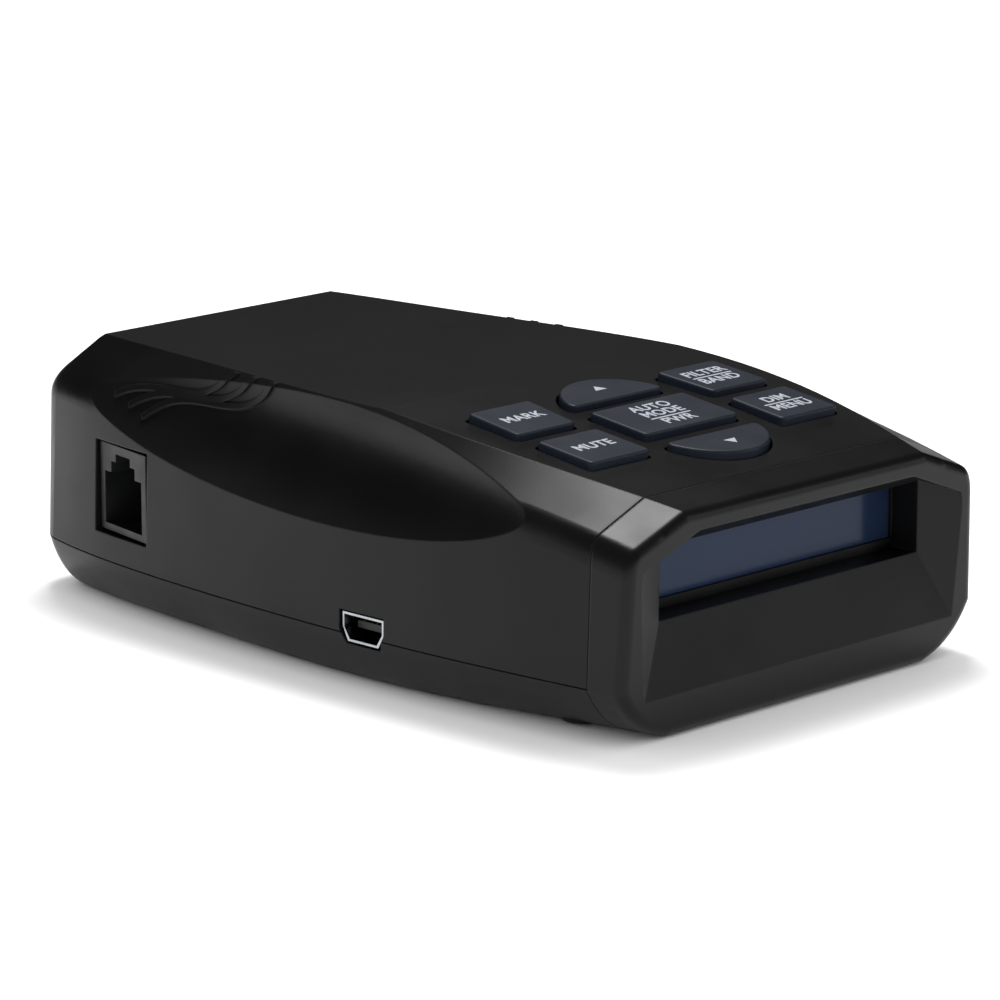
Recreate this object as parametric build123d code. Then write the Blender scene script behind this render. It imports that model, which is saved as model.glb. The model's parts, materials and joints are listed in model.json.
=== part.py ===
from build123d import *
import math
import os

# Windshield radar detector, millimetres. +Z is up, the display faces -Y, the antenna looks out of +Y,
# and the origin is the middle of the flat underside.

# ---- overall sizes
body_length = 121.0
body_width = 74.4                 # across the hips, the widest place
front_y = -body_length / 2
rear_y = body_length / 2
half_width = body_width / 2
roof_z = 36.1                     # flat rear roof
front_z = 29.2                    # roof edge above the display
wall = 1.9
seam_z = 7.2                      # where the tray meets the top case
front_lean = 0.034                # the display end leans forward by this much per mm of height
roof_break_y = -11.0              # the roof is level from here back, and breaks here into the keypad slope
roof_break_slope = 0.07           # slope just in front of the break
rear_corner_r = 8.0
seam_gap = 0.15

# ---- display end
bezel_depth = 6.3
brow_round = 1.5                  # rounded edge round the display end
rim = 2.2                         # width of the raised rim round the mouth
mouth_depth = 3.0
window_width = 51.0
window_low_z = 15.0
window_high_z = 24.8
tunnel_depth = 7.2
sleeve_wall = 1.4
lens_thickness = 1.4
mask_thickness = 0.5
mask_low_z = 16.3
mask_high_z = 23.4
display_board_high_z = 21.6
lens_margin = 1.1                 # how far the lens reaches past the window all round
glass_t = 1.6
display_board_t = 1.0

tab_t = 1.4                       # the bezel plugs into the case on two tabs
tab_height = 12.0
tab_z = 15.0
tab_air = 0.8
tab_length = 4.6

# ---- keypad
keypad_y = front_y + 26.5
key_proud = 1.0
key_gap = 0.4
key_travel = 0.5
key_flange = 0.8                  # how far the retaining flange reaches past the cap
key_flange_t = 0.6
key_play = 0.35                   # flange to the underside of the roof
key_foot_z = -3.6                 # feet of all keys end in one plane, measured along the press
switch_air = key_travel + 0.1     # foot to switch, a little more than the travel
switch_side = 4.5
switch_height = 3.1
key_board_t = 1.2
key_board_front_y = front_y + 11.3
key_board_back_y = front_y + 42.5
key_board_hole_x = 12.0
key_board_hole_r = 1.3
side_key_x = 18.6
power_key_back = 0.7              # the middle column sits this far towards the display
side_key_width = 11.2
side_key_length = 9.8
side_key_skew = 1.0               # the upper side keys slant outwards towards the driver
mark_row_y = keypad_y + 7.5
mute_row_y = keypad_y - 5.4
power_key_width = 18.2
power_key_length = 10.4
tab_key_width = 17.4
tab_key_length = 7.6
tab_key_square = 1.2              # straight part of the rounded keys
tab_key_spacing = 3.0             # gap between the power key and a rounded key
key_corner_r = 0.7
key_edge_r = 0.35                 # round along the top edge of a cap
key_foot_r = 1.5
switch_button_r = 1.6
switch_button_t = 0.8

# ---- side scoops and grip ribs
scoop_out = 22.8                  # centre of the ellipsoid lies this far outside the hips
scoop_y = -0.6
scoop_z = 33.0
scoop_deep_r = 31.5               # radii of the ellipsoid: across, lengthways and upright
scoop_long_r = 95.0
scoop_tall_r = 17.4
scoop_turn = 4.2                  # degrees, so that the hollow follows the case as it narrows
scoop_tilt = 3.2                  # degrees, rising to the rear
rib_count = 3
rib_width = 0.9
rib_proud = 0.45
# (y, z) of the first rib from the roof's edge to its tail, and how far each next rib lies forward and down
rib_path = [(19.0, 37.3), (25.0, 32.7), (36.4, 31.9), (40.6, 30.5)]
rib_steps = [(4.3, 0.0), (2.4, 0.55), (2.8, 0.65), (3.2, 1.1)]
rib_inner_x = 26.6                # the ribs stop short of the roof's edge

# ---- boards and inner works
board_z = 10.1                    # underside of the main board
board_t = 1.2
board_air = 0.6                   # board edge to wall
usb_width = 7.7
usb_height = 3.9
usb_depth = 9.2
usb_skin = 0.3
usb_taper = 1.0                   # the lower corners of the shell come in by this much
usb_y = front_y + 45.3
usb_inset = 0.4                   # shell mouth behind the outer wall
socket_air = 0.35                 # port to the edge of its opening in the wall
jack_y = rear_y - 24.1
jack_turn = -11.0                 # the rear of the case tapers, and the jack turns with it
jack_width = 12.2
jack_height = 12.4
jack_depth = 13.5
jack_inset = 0.5
plug_width = 9.9
plug_height = 7.4
latch_width = 6.4
latch_height = 1.6
tab_slot_width = 3.9
tab_slot_height = 1.2
jack_floor = 1.0
plug_depth = 11.5
contact_count = 4
contact_pitch = 1.02
contact_r = 0.22
contact_length = 6.0
horn_x = -3.0
horn_width = 28.0
horn_length = 50.0
horn_half = 8.2                   # height of each casting
horn_lift = 0.6                   # casting above the main board
horn_end_y = rear_y - 4.9
throat_width = 9.0
throat_height = 4.0
horn_wall = 1.6
flare_length = 30.0
mixer_t = 0.8
can_skin = 0.4
can_height = 4.0
window_panel_width = 40.0
window_panel_low_z = 10.2
window_panel_high_z = 24.9
window_panel_t = 1.6
laser_x = 15.9
laser_lens_r = 3.4
laser_lens_t = 2.6
speaker_r = 11.5
speaker_height = 4.6
speaker_x = 6.0
speaker_y = -20.0
grille_slots = 5
grille_pitch = 3.4
grille_slot_width = 1.6
gps_side = 18.0
gps_height = 4.0
gps_can_height = 2.0
gps_y = -9.0
capacitor_xs = (-14.0, -6.5, 6.5)
capacitor_y = -38.0
capacitor_height = 6.0
capacitor_r = 2.5
screw_r = 1.2
screw_head_r = 2.4
screw_head_t = 1.6
screw_length = 14.0
boss_r = 3.0
web_reach = 8.5                   # a web ties each boss to the wall
web_t = 1.6
fit_air = 0.1
front_screw_x = 27.0
front_screw_y = front_y + 14.5
rear_screw_x = 23.6
rear_screw_y = rear_y - 14.0
screw_head_z = 1.2                # head sits this far up its well
bracket_slot_width = 16.0
bracket_slot_height = 2.0
bracket_slot_z = 32.0
label_width = 34.0
label_length = 22.0
label_t = 0.2
label_y = 16.0
label_air = 0.2

bezel_seam_y = front_y + bezel_depth
lens_front_y = front_y + tunnel_depth + mask_thickness + fit_air
board_top = board_z + board_t


def roof_at(y):
    # level at the rear, then falling ever more steeply to the display end
    ahead = max(roof_break_y - y, 0.0)
    reach = roof_break_y - front_y
    bend = (roof_z - front_z - roof_break_slope * reach) / reach ** 2
    return roof_z - roof_break_slope * ahead - bend * ahead ** 2


def station(y, side, base, crease, drop, run):
    # side: half width at the seam; base: half width of the flat underside; crease: half width of the roof;
    # the shoulder falls by drop over run before it rolls into the wall
    return dict(y=y, side=side * half_width, base=base * half_width, crease=crease * half_width,
                drop=drop, run=run)


stations = [
    station(front_y - 4.0, 0.922, 0.683, 0.610, 3.4, 9.0),
    station(-0.413 * body_length, 0.957, 0.737, 0.694, 3.2, 7.4),
    station(-0.198 * body_length, 1.000, 0.860, 0.790, 3.6, 5.4),
    station(0.132 * body_length, 0.968, 0.833, 0.715, 4.2, 6.6),
    station(0.347 * body_length, 0.887, 0.753, 0.629, 4.4, 6.6),
    station(rear_y + 5.5, 0.688, 0.565, 0.484, 4.4, 4.45),
]
rear_run = 5.2                    # the rear shoulder falls over this much
rear_knee = 2.4                   # and rolls into the rear wall over this much
corner_spare = 0.03               # the turned corner stands this far outside the walls, to meet them cleanly
rear_bevel = 4.4                  # the rear wall draws in under the seam by this much
wall_lean = 0.6                   # the walls draw in by this much from the seam to the shoulder
shoulder_roll = 4.0               # height of the rounded step from wall to shoulder
belly_out = 0.62                  # the underside's bulge, as a share of the way out from base to seam
belly_up = 0.11                   # and of the way up
roof_spare = 3.0                  # sections stand this far above the roof, which is then cut to its curve
floor_spare = 0.3                 # and this far below the floor, which is then cut flat


def side_at(y):
    # half width at the seam, on straight lines between the stations, so never outside the wall
    for near, far in zip(stations, stations[1:]):
        if near["y"] <= y <= far["y"]:
            share = (y - near["y"]) / (far["y"] - near["y"])
            return near["side"] + share * (far["side"] - near["side"])
    raise ValueError(f"{y} is beyond the body")


def pushed_in(points, distance):
    # an open chain from the bottom centre to the top centre, moved inwards by an even distance
    if distance == 0:
        return points
    sides = []
    for (x1, z1), (x2, z2) in zip(points, points[1:]):
        length = math.hypot(x2 - x1, z2 - z1)
        ux, uz = (x2 - x1) / length, (z2 - z1) / length
        sides.append((x1 - uz * distance, z1 + ux * distance, ux, uz))
    moved = [(0.0, sides[0][1])]
    for (px, pz, ux, uz), (qx, qz, vx, vz) in zip(sides, sides[1:]):
        turn = ux * vz - uz * vx
        if abs(turn) < 1e-9:          # two sides in one line share the next side's start
            moved.append((qx, qz))
            continue
        along = ((qx - px) * vz - (qz - pz) * vx) / turn
        moved.append((px + ux * along, pz + uz * along))
    moved.append((0.0, sides[-1][1]))
    return moved


def corner_chain(s, inset):
    top = roof_at(s["y"])
    fall = s["drop"] / s["run"]
    knee = (s["crease"] + s["run"], top - s["drop"])
    wall_top = (s["side"] - wall_lean, knee[1] - shoulder_roll)
    lean = wall_lean / (wall_top[1] - seam_z)
    roll_x = (s["side"] - lean * (knee[1] + fall * knee[0] - seam_z)) / (1 - lean * fall)
    roll = (roll_x, knee[1] - fall * (roll_x - knee[0]))
    belly = (s["base"] + belly_out * (s["side"] - s["base"]), belly_up * seam_z)
    toe = s["base"] - floor_spare * (belly[0] - s["base"]) / belly[1]
    points = [(0.0, -floor_spare), (toe, -floor_spare), belly, (s["side"], seam_z), wall_top, roll, knee,
              (s["crease"] - roof_spare / fall, top + roof_spare), (0.0, top + roof_spare)]
    return pushed_in(points, inset)


def section(s, inset):
    chain = corner_chain(s, inset)

    def half(sign):
        p = [(sign * x, z) for x, z in chain]
        return [Bezier(p[1], p[2], p[3]), Line(p[3], p[4]), Bezier(p[4], p[5], p[6]), Line(p[6], p[7])]

    low, high = chain[1], chain[7]
    edges = [Line((-low[0], low[1]), low)] + half(1) + [Line(high, (-high[0], high[1]))] + half(-1)
    return Plane((0, s["y"], 0), x_dir=(1, 0, 0), z_dir=(0, -1, 0)) * make_face(Wire(edges))


def lengthways_profile(inset):
    # side view: flat underside, rear bevel, rear wall, rear shoulder, level roof, falling roof, leaning front
    rear = stations[-1]
    floor, roof = inset, roof_z - inset
    end = rear_y - inset
    knee = (end - wall_lean - rear_knee, roof - rear["drop"])
    fall = rear["drop"] / rear_run
    roll_y = end - 0.7
    roll = (roll_y, knee[1] - fall * (roll_y - knee[0]))
    wall_top = (end - wall_lean, knee[1] - shoulder_roll)
    base, seam = (end - rear_bevel, floor), (end, seam_z)
    belly = (end - (1 - belly_out) * rear_bevel, floor + belly_up * seam_z)
    spare = 0.0 if inset == 0 else 4.0
    foot = (front_y + front_lean * front_z - spare, floor)
    brow = (front_y - spare, roof_at(front_y - spare) - inset)
    crest_ys = [front_y + share * (roof_break_y - front_y) for share in (0.2, 0.4, 0.6, 0.8)]
    crest = [brow] + [(y, roof_at(y) - inset) for y in crest_ys] + [(roof_break_y, roof)]
    edges = [Line(foot, base), Bezier(base, belly, seam), Line(seam, wall_top),
             Bezier(wall_top, roll, knee), Line(knee, (knee[0] - rear_run, roof)),
             Line((knee[0] - rear_run, roof), crest[-1]), Spline(crest[::-1]), Line(brow, foot)]
    return extrude(Plane.YZ * make_face(Wire(edges)), body_width, both=True)


uncut = loft([section(s, 0) for s in stations])
corner_y = rear_y - rear_corner_r


def uncut_side(y):
    return (uncut & Pos(0, y, seam_z) * Box(2 * body_width, 0.1, 0.1)).bounding_box().max.X


wall_taper = math.atan((uncut_side(corner_y) - uncut_side(corner_y + 4.0)) / 4.0)
corner_x = uncut_side(corner_y) - rear_corner_r / math.cos(wall_taper)


def rear_corner(sign, inset):
    # what is cut away outside a rear corner, where wall, roll and shoulder turn about an upright axis
    r = rear_corner_r + corner_spare
    turned = dict(y=rear_y, side=r, base=r - rear_bevel, run=rear_run,
                  crease=r - wall_lean - rear_knee - rear_run, drop=stations[-1]["drop"])
    p = corner_chain(turned, inset)
    edges = [Bezier(p[1], p[2], p[3]), Line(p[3], p[4]), Bezier(p[4], p[5], p[6]), Line(p[6], p[7]),
             Line(p[7], (p[7][0], p[1][1])), Line((p[7][0], p[1][1]), p[1])]
    half_plane = Pos(body_width, 0) * Rectangle(2 * body_width, 4 * body_width)
    core = revolve(Plane.XZ * (make_face(Wire(edges)) & half_plane), Axis.Z)
    far = body_width
    ends = [(0.0, 0.0), (far * math.cos(wall_taper), far * math.sin(wall_taper)), (far, far), (0.0, far)]
    wedge = extrude(make_face(Polyline([(sign * x, y) for x, y in ends], close=True)), 2 * roof_z,
                    both=True)
    return Pos(sign * corner_x, corner_y, 0) * (wedge - core)


def body(inset):
    solid = loft([section(s, inset) for s in stations]) & lengthways_profile(inset)
    return solid - rear_corner(-1, inset) - rear_corner(1, inset)


def dish(side, grow):
    # the hollow that fingers find on each side: part of a long ellipsoid that leans over the shoulder
    solid = scale(Sphere(1), by=(scoop_deep_r + grow, scoop_long_r + grow, scoop_tall_r + grow))
    turned = Rot(0, 0, side * scoop_turn) * Rot(scoop_tilt, 0, 0) * solid
    return Pos(side * (half_width + scoop_out), scoop_y, scoop_z) * turned


def slab(y_low, y_high, z_low=-5.0, z_high=60.0):
    size = 3 * body_width
    return Pos(0, (y_low + y_high) / 2, (z_low + z_high) / 2) * Box(size, y_high - y_low, z_high - z_low)


def block(x_low, x_high, y_low, y_high, z_low, z_high):
    return Pos((x_low + x_high) / 2, (y_low + y_high) / 2, (z_low + z_high) / 2) * Box(
        x_high - x_low, y_high - y_low, z_high - z_low)


def rod(x, y, z_low, z_high, r):
    return Pos(x, y, (z_low + z_high) / 2) * Cylinder(r, z_high - z_low)


nodes = {}

outer = body(0)
inner = body(wall)
dishes = dish(-1, 0) + dish(1, 0)
thick_dishes = dish(-1, wall) + dish(1, wall)
hollow = inner - thick_dishes
screw_spots = [(sx * x, y) for x, y in ((front_screw_x, front_screw_y), (rear_screw_x, rear_screw_y))
               for sx in (-1, 1)]

# ---- keypad frame: local z is the press direction, reversed; local x is the row's x
keypad_slope = (roof_at(keypad_y + 1) - roof_at(keypad_y - 1)) / 2
keypad_turn = math.degrees(math.atan(keypad_slope))


def on_roof(x, y):
    return Pos(x, y, roof_at(y)) * Rot(keypad_turn, 0, 0)


def side_key_face(sign, skew, grow):
    half_w, half_l = side_key_width / 2 + grow, side_key_length / 2 + grow
    shape = Polyline((-half_w + skew / 2, -half_l), (half_w + skew / 4, -half_l),
                     (half_w - skew / 4, half_l), (-half_w - skew / 2, half_l), close=True)
    face = make_face(shape)
    if sign < 0:
        face = mirror(face, Plane.YZ)
    return fillet(face.vertices(), key_corner_r + max(grow, 0))


def power_key_face(grow):
    return RectangleRounded(power_key_width + 2 * grow, power_key_length + 2 * grow,
                            key_corner_r + max(grow, 0))


def tab_key_face(sign, grow):
    half_w, half_l = tab_key_width / 2 + grow, tab_key_length / 2 + grow
    square = tab_key_square + grow
    left, right = (-half_w, -half_l + square), (half_w, -half_l + square)
    edges = [Line((-half_w, -half_l), (half_w, -half_l)), Line((half_w, -half_l), right),
             ThreePointArc(right, (0, half_l), left), Line(left, (-half_w, -half_l))]
    face = make_face(Wire(edges))
    flat_corners = [v for v in face.vertices() if v.Y < -half_l + 0.01]
    face = fillet(flat_corners, key_corner_r + max(grow, 0))
    return face if sign > 0 else Rot(0, 0, 180) * face


tab_offset = power_key_length / 2 + tab_key_spacing + tab_key_length / 2
power_key_y = keypad_y - power_key_back
keys = {
    "mark_key": (-side_key_x, mark_row_y, lambda g: side_key_face(-1, side_key_skew, g)),
    "mute_key": (-side_key_x, mute_row_y, lambda g: side_key_face(-1, -0.2 * side_key_skew, g)),
    "up_key": (0.0, power_key_y + tab_offset, lambda g: tab_key_face(1, g)),
    "power_key": (0.0, power_key_y, power_key_face),
    "down_key": (0.0, power_key_y - tab_offset, lambda g: tab_key_face(-1, g)),
    "filter_key": (side_key_x, mark_row_y, lambda g: side_key_face(1, side_key_skew, g)),
    "dim_key": (side_key_x, mute_row_y, lambda g: side_key_face(1, -0.2 * side_key_skew, g)),
}
pad = Pos(0, keypad_y, roof_at(keypad_y)) * Rot(keypad_turn, 0, 0)


def depth_in_pad(x, y):
    # height of a point of the roof over the keypad's own plane
    angle = math.radians(keypad_turn)
    return (roof_at(y) - roof_at(keypad_y)) * math.cos(angle) - (y - keypad_y) * math.sin(angle)


key_holes = []
for name, (x, y, face_of) in keys.items():
    place = on_roof(x, y)
    cap = extrude(face_of(0), key_proud + wall + key_play + key_flange_t)
    cap = fillet(cap.faces().sort_by(Axis.Z)[-1].edges(), key_edge_r)
    flange = extrude(face_of(key_flange), key_flange_t)
    foot_len = depth_in_pad(x, y) - wall - key_play - key_flange_t - key_foot_z
    foot = Pos(0, 0, -foot_len / 2) * Cylinder(key_foot_r, foot_len)
    key = Pos(0, 0, -wall - key_play - key_flange_t) * (cap + flange + foot)
    nodes[name] = place * key
    key_holes.append(place * (Pos(0, 0, -3 * wall) * extrude(face_of(key_gap), 6 * wall)))

board_face_z = key_foot_z - switch_air - switch_height
switches = []
for x, y, face_of in keys.values():
    angle = math.radians(keypad_turn)
    along = (y - keypad_y) * math.cos(angle) + (roof_at(y) - roof_at(keypad_y)) * math.sin(angle)
    low_height = switch_height - switch_button_t
    switch = Pos(0, 0, low_height / 2) * Box(switch_side, switch_side, low_height)
    switch += Pos(0, 0, low_height + switch_button_t / 2) * Cylinder(switch_button_r, switch_button_t)
    switches.append(pad * Pos(x, along, board_face_z) * switch)
nodes["key_switches"] = Compound(children=switches)
key_board_length = (key_board_back_y - key_board_front_y) / math.cos(math.radians(keypad_turn))
key_board_centre = (key_board_back_y + key_board_front_y) / 2 - keypad_y
key_board = Pos(0, key_board_centre, board_face_z - key_board_t / 2) * Box(
    2 * side_key_x + side_key_width, key_board_length, key_board_t)
for sign in (-1, 1):
    key_board -= Pos(sign * key_board_hole_x, 0, board_face_z) * Cylinder(key_board_hole_r, 4 * key_board_t)
nodes["key_board"] = pad * key_board

# ---- display end
mouth_y = front_y + mouth_depth
half_window = window_width / 2
lip_low, lip_high = rim - 0.1, front_z - rim - 0.3
lip_half = stations[0]["side"] - rim + 0.2


def frame_rect(y, half_w, z_low, z_high):
    face = Pos(0, (z_low + z_high) / 2) * Rectangle(2 * half_w, z_high - z_low)
    return Plane((0, y, 0), x_dir=(1, 0, 0), z_dir=(0, -1, 0)) * face


flare_x = (lip_half - half_window) / mouth_depth
flare_low = (window_low_z - lip_low) / mouth_depth
flare_high = (lip_high - window_high_z) / mouth_depth
reach = 2.0
mouth = loft([
    frame_rect(front_y - reach, lip_half + flare_x * reach, lip_low - flare_low * reach,
               lip_high + flare_high * reach),
    frame_rect(mouth_y, half_window, window_low_z, window_high_z)], ruled=True)
rim_hole = extrude(section(stations[0], rim), -20) & slab(front_y - 10, front_y + 10, 0,
                                                          roof_at(front_y) - rim)
mouth &= rim_hole
tunnel_end = front_y + tunnel_depth
tunnel = block(-half_window, half_window, mouth_y - 1, tunnel_end + 5, window_low_z, window_high_z)
sleeve = block(-half_window - sleeve_wall, half_window + sleeve_wall, mouth_y, tunnel_end,
               window_low_z - sleeve_wall, window_high_z + sleeve_wall)
bezel = outer & slab(front_y - 10, bezel_seam_y)
bezel = fillet(bezel.faces().sort_by(Axis.Y)[0].outer_wire().edges(), brow_round)
bezel -= inner & slab(mouth_y + wall, bezel_seam_y + 1)
bezel += sleeve
for sign in (-1, 1):
    tab_x = sign * (side_at(bezel_seam_y) - wall - tab_air - tab_t / 2)
    bezel += Pos(tab_x, bezel_seam_y + 0.3, tab_z) * Box(tab_t, tab_length, tab_height)
nodes["front_bezel"] = bezel - mouth - tunnel

mask_outer = block(-half_window - lens_margin, half_window + lens_margin, tunnel_end + fit_air,
                   tunnel_end + fit_air + mask_thickness, window_low_z - lens_margin,
                   window_high_z + lens_margin)
mask_hole = block(-half_window + 0.3, half_window - 0.3, tunnel_end - 1, tunnel_end + 3, mask_low_z,
                  mask_high_z)
nodes["display_mask"] = mask_outer - mask_hole
lens_back = lens_front_y + lens_thickness
nodes["display_lens"] = block(-half_window - lens_margin, half_window + lens_margin,
                              lens_front_y + 0.05, lens_back,
                              window_low_z - lens_margin, window_high_z + lens_margin)
glass_back = lens_back + fit_air + glass_t
nodes["display_glass"] = block(-half_window - 0.5, half_window + 0.5, lens_back + fit_air, glass_back,
                               window_low_z + 0.5, window_high_z - 0.5)
display_board_y = glass_back + fit_air
board_back = display_board_y + display_board_t
nodes["display_board"] = block(-half_window + 1.5, half_window - 1.5, display_board_y, board_back,
                               board_top + 0.5, display_board_high_z)
nodes["display_driver"] = block(-9, 3, board_back, board_back + 1.0, 15.0, 19.0)
nodes["infrared_receiver"] = block(14, 19, board_back, board_back + 2.5, 15.5, 21.0)

# ---- main board
board_ends = (bezel_seam_y + 5.2, rear_y - wall - 3.0)
between = [st["y"] for st in stations if board_ends[0] < st["y"] < board_ends[1]]
stops = [board_ends[0]] + between + [board_ends[1]]
edge = [(side_at(y) - wall_lean - wall - board_air, y) for y in stops]
edge = edge[:-1] + [(edge[-1][0], edge[-1][1] - rear_corner_r), (edge[-1][0] - rear_corner_r, edge[-1][1])]
board_outline = Polyline(edge + [(-x, y) for x, y in edge[::-1]], close=True)
main_board = Pos(0, 0, board_z) * extrude(make_face(board_outline), board_t)
for x, y in screw_spots:
    main_board -= rod(x, y, board_z - 1, board_top + 1, screw_r + 0.4)
nodes["main_board"] = main_board

# ---- ports on the left wall


def wall_x(y, z):
    # outer face of the left wall, where a port comes out
    probe = outer & Pos(-half_width, y, z) * Box(body_width, 0.2, 0.2)
    return probe.bounding_box().min.X


usb_wall = wall_x(usb_y, board_z - usb_height / 2)
usb_place = Plane((usb_wall + usb_inset, usb_y, board_z - usb_height / 2 - 0.05), x_dir=(0, -1, 0),
                  z_dir=(-1, 0, 0))
half_u, half_h = usb_width / 2, usb_height / 2


def usb_face(grow):
    outline = Polyline((-half_u - grow, half_h + grow), (half_u + grow, half_h + grow),
                       (half_u + grow, -0.1), (half_u - usb_taper + grow, -half_h - grow),
                       (-half_u + usb_taper - grow, -half_h - grow), (-half_u - grow, -0.1), close=True)
    return make_face(outline)


usb_shell = extrude(usb_face(0), -usb_depth) - extrude(usb_face(-usb_skin), -usb_depth + usb_skin)
nodes["usb_shell"] = usb_place * usb_shell
tongue = Pos(0, 0.2, -usb_depth / 2 - 0.6) * Box(usb_width - 2.6, 1.0, usb_depth - 1.8)
nodes["usb_tongue"] = usb_place * tongue
usb_hole = usb_place * (Pos(0, 0, -6) * extrude(usb_face(socket_air), 12))

jack_low = board_top + 0.1
jack_wall = wall_x(jack_y, jack_low + jack_height / 2)
jack_place = (Pos(jack_wall + jack_inset, jack_y, jack_low) * Rot(0, 0, jack_turn))
housing = block(0, jack_depth, -jack_width / 2, jack_width / 2, 0, jack_height)
plug_top = jack_floor + plug_height
latch_top = plug_top + latch_height
socket = block(-1, plug_depth, -plug_width / 2, plug_width / 2, jack_floor, plug_top)
socket += block(-1, plug_depth, -latch_width / 2, latch_width / 2, plug_top - 0.1, latch_top)
socket += block(-1, plug_depth, -tab_slot_width / 2, tab_slot_width / 2, latch_top - 0.1,
                latch_top + tab_slot_height)
nodes["line_jack"] = jack_place * (housing - socket)
contacts = []
for i in range(contact_count):
    contact_y = (i - (contact_count - 1) / 2) * contact_pitch
    wire = Pos(plug_depth / 2 + 2.0, contact_y, jack_floor + contact_r + 0.9) * Rot(0, -12, 0)
    contacts.append(jack_place * wire * Rot(0, 90, 0) * Cylinder(contact_r, contact_length))
nodes["jack_contacts"] = Compound(children=contacts)
jack_hole = jack_place * block(-8, 6, -jack_width / 2 - socket_air, jack_width / 2 + socket_air,
                               -socket_air, jack_height + socket_air)

# ---- grip ribs on the rear half of each hollow
rib_skin = body(-0.35) - dish(-1, -rib_proud) - dish(1, -rib_proud) - hollow
ribs = []
for i in range(rib_count):
    path = Spline([(y - i * back, z - i * down) for (y, z), (back, down) in zip(rib_path, rib_steps)])
    sheet = extrude(Plane.YZ * trace(path, rib_width), body_width, both=True)
    for sign in (-1, 1):
        side_space = Pos(sign * (rib_inner_x + body_width / 2), 0, 0) * Box(body_width, body_length,
                                                                            2 * roof_z - 0.1)
        ribs.append(sheet & side_space & rib_skin)

# ---- top case
case_slab = slab(bezel_seam_y + seam_gap, rear_y + 5, seam_z + seam_gap, roof_z + 5)
top_case = outer - dishes
for rib in ribs:
    top_case += rib
top_case = (top_case - hollow) & case_slab
top_case -= body(wall / 2 - fit_air) & slab(bezel_seam_y - 1, rear_y, seam_z - 1, seam_z + 1.6 + fit_air)
for x, y in screw_spots:
    sx = 1 if x > 0 else -1
    boss = rod(x, y, board_top + 0.1, board_top + 10.0, boss_r)
    web_end = sx * (abs(x) + web_reach)
    web = block(min(x, web_end), max(x, web_end), y - web_t / 2, y + web_t / 2,
                board_top + 0.6, board_top + 9.0)
    top_case += (boss + web) & body(wall / 2)
    top_case -= rod(x, y, board_z, board_top + 8.5, screw_r + fit_air)
for hole in key_holes:
    top_case -= hole
rear_hole = block(-window_panel_width / 2, window_panel_width / 2, rear_y - 8, rear_y + 2,
                  window_panel_low_z, window_panel_high_z)
top_case -= rear_hole
bracket_slot = block(-bracket_slot_width / 2, bracket_slot_width / 2, rear_y - 12, rear_y + 2,
                     bracket_slot_z - bracket_slot_height / 2, bracket_slot_z + bracket_slot_height / 2)
nodes["top_case"] = top_case - bracket_slot - usb_hole - jack_hole

# ---- tray
tray = (outer - hollow) & slab(bezel_seam_y + seam_gap, rear_y + 5, -1, seam_z)
tongue_ring = (body(wall / 2) - inner) & slab(bezel_seam_y + 2.4, rear_y, seam_z - 2, seam_z + 1.6)
tray += tongue_ring
for x, y in screw_spots:
    tray += rod(x, y, 0.3, board_z - 0.1, boss_r)
    tray -= rod(x, y, -1, screw_head_z + screw_head_t + 0.1, screw_head_r + 0.3)
    tray -= rod(x, y, 0, board_z + 1, screw_r + fit_air)
for i in range(grille_slots):
    offset = (i - (grille_slots - 1) / 2) * grille_pitch
    slot_len = 2 * math.sqrt((speaker_r - 2.2) ** 2 - offset ** 2)
    slot = Pos(speaker_x + offset, speaker_y, 0) * Box(grille_slot_width, slot_len, 3 * wall)
    tray -= fillet(slot.edges().filter_by(Axis.Z), grille_slot_width / 2 - 0.05)
tray -= block(-label_width / 2, label_width / 2, label_y - label_length / 2, label_y + label_length / 2,
              -1, label_t + 0.1)
nodes["bottom_case"] = tray - usb_hole
half_label_x, half_label_y = label_width / 2 - label_air, label_length / 2 - label_air
nodes["blank_label"] = block(-half_label_x, half_label_x, label_y - half_label_y, label_y + half_label_y,
                             0.1, label_t + 0.1)

# ---- case screws
screws = []
for x, y in screw_spots:
    head = rod(x, y, screw_head_z + 0.05, screw_head_z + screw_head_t, screw_head_r)
    head -= block(x - 1.6, x + 1.6, y - 0.3, y + 0.3, 0, screw_head_z + 0.7)
    head -= block(x - 0.3, x + 0.3, y - 1.6, y + 1.6, 0, screw_head_z + 0.7)
    screws.append(head + rod(x, y, screw_head_z + 1.0, screw_head_z + screw_length, screw_r))
nodes["case_screws"] = Compound(children=screws)

# ---- speaker
speaker_low = wall + 0.35
ring = rod(speaker_x, speaker_y, speaker_low, speaker_low + speaker_height, speaker_r)
ring -= rod(speaker_x, speaker_y, speaker_low - 1, speaker_low + 2.0, speaker_r - 1.4)
nodes["speaker"] = ring - rod(speaker_x, speaker_y, speaker_low + 3.2, speaker_low + 9, speaker_r - 4.0)
cone = Pos(speaker_x, speaker_y, speaker_low + 1.2) * Cone(speaker_r - 2.0, 3.0, 1.2)
nodes["speaker_cone"] = cone
nodes["speaker_mesh"] = rod(speaker_x, speaker_y, wall + 0.05, wall + 0.3, speaker_r - 1.0)

# ---- horn antenna: two castings, a mixer board and its screening can
horn_low = board_top + horn_lift
horn_mid = horn_low + horn_half
horn_start_y = horn_end_y - horn_length


def horn_rect(y, width, height):
    face = Pos(horn_x, horn_mid) * Rectangle(width, height)
    return Plane((0, y, 0), x_dir=(1, 0, 0), z_dir=(0, -1, 0)) * face


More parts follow.
